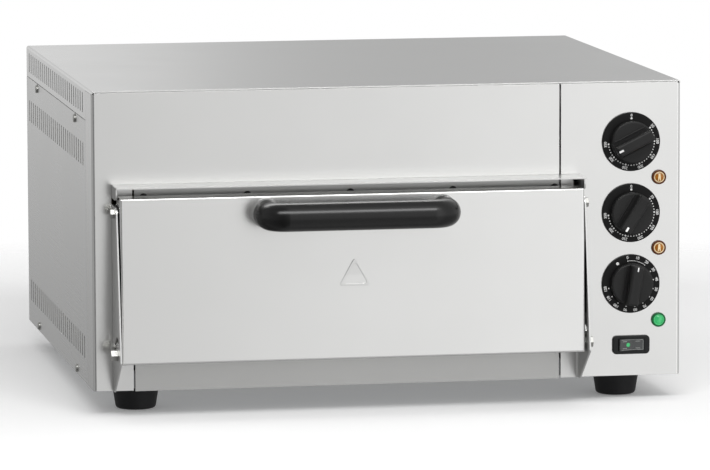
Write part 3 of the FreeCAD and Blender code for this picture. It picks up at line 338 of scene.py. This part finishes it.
PRINT = 0.05 * MM
PRINT_LIFT = 0.0001 * MM
SCALE_R = 22.5 * MM
NUMBER_R = 25.4 * MM
NUMBER_HIGH = 2.75 * MM
DOT_R = 0.6 * MM
BIG_DOT_R = 0.9 * MM
ZERO_DOT_R = BIG_DOT_R * 1.2
HEAT_FIRST, HEAT_STEP, HEAT_MARKS = 54.0, 35.15, 7
HEAT_PER_MARK = 50
HEAT_DOTS = 5
TIMER_ZERO, TIMER_STEP, TIMER_MARKS = -8.0, 22.3, 13
TIMER_PER_MARK = 10
TIMER_DOT_AT = SCALE_R - 0.3 * MM
TIMER_ARC_AT, TIMER_ARC_WIDE = SCALE_R - 0.5 * MM, 0.45 * MM
TIMER_SYMBOL = -34.0
TIMER_SYMBOL_AT, TIMER_SYMBOL_R = SCALE_R + 1.2 * MM, 1.5 * MM
CONTROLS = {"top_heat": "heat", "bottom_heat": "heat", "timer": "timer"}


def shown(name, made, body, slot, *materials):
    """Make the mesh a shown piece that rides on a body."""
    mesh = bpy.data.meshes.new(name)
    bmesh.ops.recalc_face_normals(made, faces=made.faces)
    made.to_mesh(mesh)
    made.free()
    for material in materials:
        mesh.materials.append(MATERIALS[material])
    piece = bpy.data.objects.new(name, mesh)
    bpy.context.scene.collection.objects.link(piece)
    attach(piece, body)


def raised(made, outline, front, depth):
    """A flat patch with the outline [(x, z), ...] that stands out of a face at front."""
    near = [made.verts.new((x, front - depth, z)) for x, z in outline]
    far = [made.verts.new((x, front + depth, z)) for x, z in outline]
    made.faces.new(near)
    made.faces.new(far[::-1])
    for i in range(len(near)):
        j = (i + 1) % len(near)
        made.faces.new((near[i], far[i], far[j], near[j]))


def polar(centre, radius, angle):
    """A point at a clockwise angle from straight up, seen from the front."""
    turn = math.radians(angle)
    return (centre.x + radius * math.sin(turn), centre.z + radius * math.cos(turn))


def round_mark(made, centre, front, radius, angle, size):
    """A printed dot on the dial."""
    x, z = polar(centre, radius, angle)
    spot = Vector((x, 0, z))
    raised(made, [polar(spot, size, a) for a in range(0, 360, 20)], front, PRINT)


def arc_mark(made, centre, front, radius, width, start, end):
    """A printed arc on the dial."""
    steps = max(2, int((end - start) / 3))
    angles = [start + (end - start) * i / steps for i in range(steps + 1)]
    for a, b in zip(angles, angles[1:]):
        corners = [polar(centre, r, t) for r, t in
                   ((radius, a), (radius + width, a), (radius + width, b), (radius, b))]
        raised(made, corners, front, PRINT)


def number(made, text, centre, front, radius, angle, high):
    """A number on the dial, its top turned outwards."""
    curve = bpy.data.curves.new("number", "FONT")
    curve.body = text
    curve.size = high * 1.35
    curve.align_x = "CENTER"
    curve.align_y = "CENTER"
    curve.extrude = PRINT
    curve.resolution_u = 4
    curve.offset = high * 0.02
    holder = bpy.data.objects.new("number", curve)
    bpy.context.scene.collection.objects.link(holder)
    ready = holder.evaluated_get(bpy.context.evaluated_depsgraph_get())
    mesh = bpy.data.meshes.new_from_object(ready)
    x, z = polar(centre, radius, angle)
    mesh.transform(Matrix.Rotation(math.pi / 2, 4, "X"))
    mesh.transform(Matrix.Rotation(math.radians(angle), 4, "Y"))
    mesh.transform(Matrix.Translation((x, front, z)))
    made.from_mesh(mesh)
    bpy.data.objects.remove(holder)
    bpy.data.curves.remove(curve)
    bpy.data.meshes.remove(mesh)


def heat_scale(made, centre, front):
    """Temperature scale: 0, then 50 to 350 with dots between the numbers."""
    number(made, "0", centre, front, NUMBER_R, 0.0, NUMBER_HIGH)
    round_mark(made, centre, front, SCALE_R, 0.0, ZERO_DOT_R)
    for i in range(HEAT_MARKS):
        angle = HEAT_FIRST + HEAT_STEP * i
        number(made, str(HEAT_PER_MARK * (i + 1)), centre, front, NUMBER_R, angle, NUMBER_HIGH)
        round_mark(made, centre, front, SCALE_R, angle, BIG_DOT_R)
        for k in range(1, HEAT_DOTS if i + 1 < HEAT_MARKS else 1):
            round_mark(made, centre, front, SCALE_R, angle + HEAT_STEP * k / HEAT_DOTS, DOT_R)


def timer_scale(made, centre, front):
    """Minute scale from 0 to 120, with a round mark before the zero."""
    for i in range(TIMER_MARKS):
        angle = TIMER_ZERO + TIMER_STEP * i
        number(made, str(TIMER_PER_MARK * i), centre, front, NUMBER_R, angle, NUMBER_HIGH)
        round_mark(made, centre, front, TIMER_DOT_AT, angle, DOT_R)
    arc_mark(made, centre, front, TIMER_ARC_AT, TIMER_ARC_WIDE,
             TIMER_ZERO, TIMER_ZERO + 2 * TIMER_STEP)
    round_mark(made, centre, front, TIMER_SYMBOL_AT, TIMER_SYMBOL, TIMER_SYMBOL_R)


POINTER_SIZE = {"heat": (13.6 * MM, 18.2 * MM, 1.0 * MM), "timer": (14.2 * MM, 18.2 * MM, 0.65 * MM)}
POINTER_AT = {"top_heat": 244.0, "bottom_heat": 212.0, "timer": 9.0}
LIP_AT = 8.4 * MM
LIP_R = 0.75 * MM
LIP_END = 18.4 * MM
LIP_ROWS, LIP_SIDES = 12, 8
DISC_FRONT = 12.5 * MM


def turned(centre, across, along, angle):
    """The (x, z) of a point on a knob's face whose bar points to the angle."""
    turn = math.radians(angle)
    return (centre.x + along * math.sin(turn) + across * math.cos(turn),
            centre.z + along * math.cos(turn) - across * math.sin(turn))


def lips(made, centre, front, angle):
    """Rounded ridges on the knob's disc along both sides of the grip bar."""
    reach = math.sqrt(LIP_END ** 2 - LIP_AT ** 2)
    for side in (-LIP_AT, LIP_AT):
        rows = []
        for i in range(LIP_ROWS + 1):
            along = -reach + 2 * reach * i / LIP_ROWS
            low = 0.35 + 0.65 * math.sin(math.pi * i / LIP_ROWS) ** 0.3
            row = []
            for k in range(LIP_SIDES + 1):
                a = math.pi * k / LIP_SIDES
                x, z = turned(centre, side + LIP_R * math.cos(a), along, angle)
                row.append(made.verts.new((x, front - LIP_R * math.sin(a) * low, z)))
            rows.append(row)
        for one, two in zip(rows, rows[1:]):
            for k in range(LIP_SIDES):
                made.faces.new((one[k], one[k + 1], two[k + 1], two[k]))
        for row in (rows[0], rows[-1]):
            made.faces.new(row)
        made.faces.new([row[0] for row in rows] + [row[-1] for row in rows[::-1]])


for key, kind in CONTROLS.items():
    dial_low, dial_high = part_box(key + "_dial")
    dial_centre = (dial_low + dial_high) / 2
    print_mesh = bmesh.new()
    (heat_scale if kind == "heat" else timer_scale)(print_mesh, dial_centre, dial_low.y)
    shown(key + "_scale", print_mesh, "oven", "black_dial", "scale_print")
    knob_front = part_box(key + "_knob")[0].y
    start, end, half = POINTER_SIZE[kind]
    angle = POINTER_AT[key]
    corners = [turned(dial_centre, u, v, angle) for u, v in
               ((-half, start), (-half, end), (half, end), (half, start))]
    pointer_mesh = bmesh.new()
    raised(pointer_mesh, corners, knob_front + PRINT_LIFT, PRINT)
    shown(key + "_pointer", pointer_mesh, key + "_control", "black_knob", "scale_print")
    lip_mesh = bmesh.new()
    lips(lip_mesh, dial_centre, knob_front + DISC_FRONT, angle)
    shown(key + "_knob_lips", lip_mesh, key + "_control", "black_knob", "black_knob")


def ring(made, centre, front, inner, outer, depth, turns=40):
    """A ring with a rounded front, lying against a face."""
    profile = [(inner, front), (inner + 0.25 * (outer - inner), front - depth),
               (outer - 0.25 * (outer - inner), front - depth), (outer, front)]
    rows = []
    for k in range(turns):
        points = [polar(centre, r, 360 * k / turns) for r, y in profile]
        rows.append([made.verts.new((x, y, z)) for (x, z), (r, y) in zip(points, profile)])
    for k in range(turns):
        one, two = rows[k], rows[(k + 1) % turns]
        for i in range(len(profile)):
            j = (i + 1) % len(profile)
            made.faces.new((one[i], one[j], two[j], two[i]))


LENS_RING = (4.1 * MM, 5.25 * MM)
LENS_RING_BACK, LENS_RING_HIGH = 0.1 * MM, 0.5 * MM
REFLECTOR_LEG = ((0.0, 3.6), (0.9, 3.4), (1.5, -3.2), (0.6, -3.4), (0.0, -0.8))


def reflector(made, centre, front):
    """Two splayed legs that meet at the top, seen through the lens."""
    for side in (-1, 1):
        outline = [(centre.x + side * u * MM, centre.z + v * MM) for u, v in REFLECTOR_LEG]
        raised(made, outline if side > 0 else outline[::-1], front, 3 * PRINT)


amber_low, amber_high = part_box("amber_lamp_lenses")
lens_r = (amber_high.x - amber_low.x) / 2
ring_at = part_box("lamp_holders")[0].y + LENS_RING_BACK
amber_mesh = bmesh.new()
for height in (amber_low.z + lens_r, amber_high.z - lens_r):
    spot = Vector((amber_low.x + lens_r, 0, height))
    ring(amber_mesh, spot, ring_at, *LENS_RING, LENS_RING_HIGH)
    reflector(amber_mesh, spot, amber_low.y + 2 * PRINT)
shown("amber_lamp_inserts", amber_mesh, "oven", "amber_lens", "lamp_cream")
green_mesh = bmesh.new()
ring(green_mesh, middle("green_lamp_lens"), ring_at, *LENS_RING, LENS_RING_HIGH)
shown("green_lamp_rim", green_mesh, "oven", "green_lens", "green_lens")


def on_face(tree, x, z):
    """The y of a CAD face seen from the front at (x, z)."""
    hit = tree.ray_cast(Vector((x, -1, z)), Vector((0, 1, 0)))[0]
    return hit.y if hit else None


def drawn_strip(made, tree, x0, x1, z0, z1, steps):
    """A thin printed strip that follows the rocker's face."""
    columns = []
    for i in range(steps + 1):
        x = x0 + (x1 - x0) * i / steps
        y = on_face(tree, x, (z0 + z1) / 2)
        if y is not None:
            columns.append([made.verts.new((x, y - d, z)) for d, z in
                            ((PRINT, z0), (PRINT, z1), (-PRINT, z1), (-PRINT, z0))])
    for one, two in zip(columns, columns[1:]):
        for i in range(4):
            j = (i + 1) % 4
            made.faces.new((one[i], one[j], two[j], two[i]))
    for column in (columns[0], columns[-1]):
        made.faces.new(column)


rocker_low, rocker_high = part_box("power_rocker")
tree = BVHTree.FromObject(NODES["power_rocker"], bpy.context.evaluated_depsgraph_get())
rocker_mesh = bmesh.new()
inset, line = 0.75 * MM, 0.35 * MM
DASH_LONG, DASH_HIGH = 4.4 * MM, 0.5 * MM
DASH_FROM_LEFT, DASH_FROM_RIGHT = 3.0 * MM, 7.4 * MM
DASH_FROM_LOW, DASH_FROM_TOP = 1.4 * MM, 1.9 * MM
rx0, rx1 = rocker_low.x + inset, rocker_high.x - inset
rz0, rz1 = rocker_low.z + inset, rocker_high.z - inset
for z0 in (rz0, rz1 - line):
    drawn_strip(rocker_mesh, tree, rx0, rx1, z0, z0 + line, 12)
for x0 in (rx0, rx1 - line):
    drawn_strip(rocker_mesh, tree, x0, x0 + line, rz0, rz1, 1)
for x0 in (rx0 + DASH_FROM_LEFT, rx1 - DASH_FROM_RIGHT):
    for z0 in (rz0 + DASH_FROM_LOW, rz1 - DASH_FROM_TOP):
        drawn_strip(rocker_mesh, tree, x0, x0 + DASH_LONG, z0, z0 + DASH_HIGH, 4)
shown("rocker_marks", rocker_mesh, "rocker", "rocker_plastic", "rocker_print")


# ---------------------------------------------------------------- studio

FLOOR_R = 4.0
FLOOR_FADE = (0.75, 1.15)
FLOOR_RINGS, FLOOR_TURNS = 24, 96
FLOOR_BELOW = 0.2 * MM
FLOOR_GLOW = 0.15


def studio_floor():
    """Pale floor that fades out a little way from the oven."""
    mesh = bpy.data.meshes.new("studio_floor")
    made = bmesh.new()
    last = [made.verts.new((0, 0, 0))]
    for i in range(1, FLOOR_RINGS + 1):
        radius = FLOOR_R * (i / FLOOR_RINGS) ** 1.5
        circle = []
        for k in range(FLOOR_TURNS):
            turn = 2 * math.pi * k / FLOOR_TURNS
            circle.append(made.verts.new((radius * math.cos(turn), radius * math.sin(turn), 0)))
        for k in range(FLOOR_TURNS):
            j = (k + 1) % FLOOR_TURNS
            if len(last) == 1:
                made.faces.new((last[0], circle[k], circle[j]))
            else:
                made.faces.new((last[k], circle[k], circle[j], last[j]))
        last = circle
    made.to_mesh(mesh)
    made.free()
    floor = bpy.data.objects.new("studio_floor", mesh)
    bpy.context.scene.collection.objects.link(floor)
    floor.location.z = -FLOOR_BELOW
    s = Shader("floor_paint")
    s.set(Base_Color=(0.96, 0.96, 0.96, 1.0), Roughness=0.8)
    s.set(Emission_Color=(1.0, 1.0, 1.0, 1.0), Emission_Strength=FLOOR_GLOW)
    fade = s.add("ShaderNodeVectorMath", operation="LENGTH")
    s.join(s.place, fade.inputs[0])
    s.join(s.ranged(fade.outputs["Value"], 1.0, 0.0, *FLOOR_FADE), s.surface.inputs["Alpha"])
    mesh.materials.append(s.material)
    floor.visible_glossy = False


# Brightness of the room: (degrees, brightness), GLOW from left to right and RISE from below to above.
FRONT_GLOW = ((-90, 0.50), (-40, 0.30), (-12, 0.18), (0, 0.38), (7, 0.72), (13, 1.10), (24, 1.42),
              (50, 0.9), (90, 0.7))
BACK_GLOW = ((-90, 0.50), (-25, 0.62), (-10, 0.70), (3, 0.60), (6.5, 0.74), (9.0, 0.53),
             (10.5, 0.46), (14, 0.52), (30, 0.62), (90, 0.8))
FRONT_RISE = ((-90, 0.50), (-40, 0.50), (-20, 0.55), (-8, 0.93), (0, 1.0), (20, 0.95), (90, 0.8))
BACK_RISE = ((-90, 0.50), (-30, 0.50), (-16, 0.42), (-9, 0.46), (-5, 0.96), (0, 1.05), (12, 1.0),
             (40, 0.9), (90, 0.8))
ROOM_BLEND = 0.3


def studio_room():
    """Soft surroundings: a bright side at the front right, dimmer at the front left and low down."""
    world = bpy.data.worlds.new("studio")
    bpy.context.scene.world = world
    world.use_nodes = True
    tree = world.node_tree
    tree.nodes.clear()

    def add(kind, **settings):
        node = tree.nodes.new(kind)
        for key, value in settings.items():
            setattr(node, key, value)
        return node

    def math_node(operation, first, second):
        node = add("ShaderNodeMath", operation=operation)
        for socket, value in zip(node.inputs, (first, second)):
            if hasattr(value, "is_output"):
                tree.links.new(value, socket)
            else:
                socket.default_value = value
        return node.outputs[0]

    def curve(angle, stops):
        """A smooth value along an angle that runs from -90 to 90 degrees."""
        node = add("ShaderNodeFloatCurve")
        line = node.mapping.curves[0]
        points = [((a + 90) / 180, v / 2) for a, v in stops]
        line.points[0].location, line.points[1].location = points[0], points[-1]
        for point in points[1:-1]:
            line.points.new(*point)
        node.mapping.update()
        share = math_node("DIVIDE", math_node("ADD", angle, math.pi / 2), math.pi)
        tree.links.new(share, node.inputs["Value"])
        return math_node("MULTIPLY", node.outputs[0], 2.0)

    output = add("ShaderNodeOutputWorld")
    parts = add("ShaderNodeSeparateXYZ")
    tree.links.new(add("ShaderNodeTexCoord").outputs["Generated"], parts.inputs[0])
    x, y, z = parts.outputs
    depth = math_node("ABSOLUTE", y, 0.0)
    azimuth = math_node("ARCTAN2", x, depth)
    elevation = math_node("ARCSINE", z, 0.0)
    front = math_node("MULTIPLY", curve(azimuth, FRONT_GLOW), curve(elevation, FRONT_RISE))
    back = math_node("MULTIPLY", curve(azimuth, BACK_GLOW), curve(elevation, BACK_RISE))
    side = add("ShaderNodeMapRange", interpolation_type="SMOOTHSTEP")
    side.inputs["From Min"].default_value = -ROOM_BLEND
    side.inputs["From Max"].default_value = ROOM_BLEND
    tree.links.new(y, side.inputs["Value"])
    blend = add("ShaderNodeMix", data_type="FLOAT")
    for socket, value in zip(blend.inputs[:1] + blend.inputs[2:4], (side.outputs[0], front, back)):
        tree.links.new(value, socket)
    soft = add("ShaderNodeBackground")
    tree.links.new(blend.outputs[0], soft.inputs["Strength"])
    soft.inputs["Color"].default_value = (1.0, 1.0, 1.0, 1.0)
    white = add("ShaderNodeBackground")
    white.inputs["Color"].default_value = (1.0, 1.0, 1.0, 1.0)
    seen = add("ShaderNodeLightPath")
    mix = add("ShaderNodeMixShader")
    tree.links.new(seen.outputs["Is Camera Ray"], mix.inputs[0])
    tree.links.new(soft.outputs[0], mix.inputs[1])
    tree.links.new(white.outputs[0], mix.inputs[2])
    tree.links.new(mix.outputs[0], output.inputs["Surface"])


def softbox(name, place, target, size, power):
    """A soft rectangular light that shines at the target."""
    data = bpy.data.lights.new(name, "AREA")
    data.shape = "RECTANGLE"
    data.size, data.size_y = size
    data.energy = power
    lamp = bpy.data.objects.new(name, data)
    bpy.context.scene.collection.objects.link(lamp)
    lamp.location = place
    lamp.rotation_euler = (Vector(target) - Vector(place)).to_track_quat("-Z", "Y").to_euler()


CAMERA_PLACE = (-0.95511, -5.28416, 0.80542)
CAMERA_ANGLES = (7.066, 10.308, -0.182)
CAMERA_LENS = 277.58
CAMERA_SENSOR = 36.0
CAMERA_REACH = 100.0


def front_camera():
    """Long lens from the front left, a little above the oven."""
    pitch, yaw, roll = (math.radians(a) for a in CAMERA_ANGLES)
    level = math.cos(pitch)
    forward = Vector((math.sin(yaw) * level, math.cos(yaw) * level, -math.sin(pitch)))
    right = forward.cross(Vector((0, 0, 1))).normalized()
    up = right.cross(forward)
    turned_right = right * math.cos(roll) + up * math.sin(roll)
    turned_up = up * math.cos(roll) - right * math.sin(roll)
    rotation = Matrix((turned_right, turned_up, -forward)).transposed()
    data = bpy.data.cameras.new("camera")
    data.sensor_width = CAMERA_SENSOR
    data.lens = CAMERA_LENS
    data.clip_end = CAMERA_REACH
    camera = bpy.data.objects.new("camera", data)
    bpy.context.scene.collection.objects.link(camera)
    camera.matrix_world = Matrix.Translation(CAMERA_PLACE) @ rotation.to_4x4()
    bpy.context.scene.camera = camera


KEY_PLACE, KEY_TARGET = (-0.3, -2.1, 2.1), (0, -0.1, 0.15)
KEY_SIZE, KEY_POWER = (2.4, 0.7), 42

studio_floor()
studio_room()
softbox("key", KEY_PLACE, KEY_TARGET, KEY_SIZE, KEY_POWER)
front_camera()
bpy.context.scene.view_settings.view_transform = "Standard"
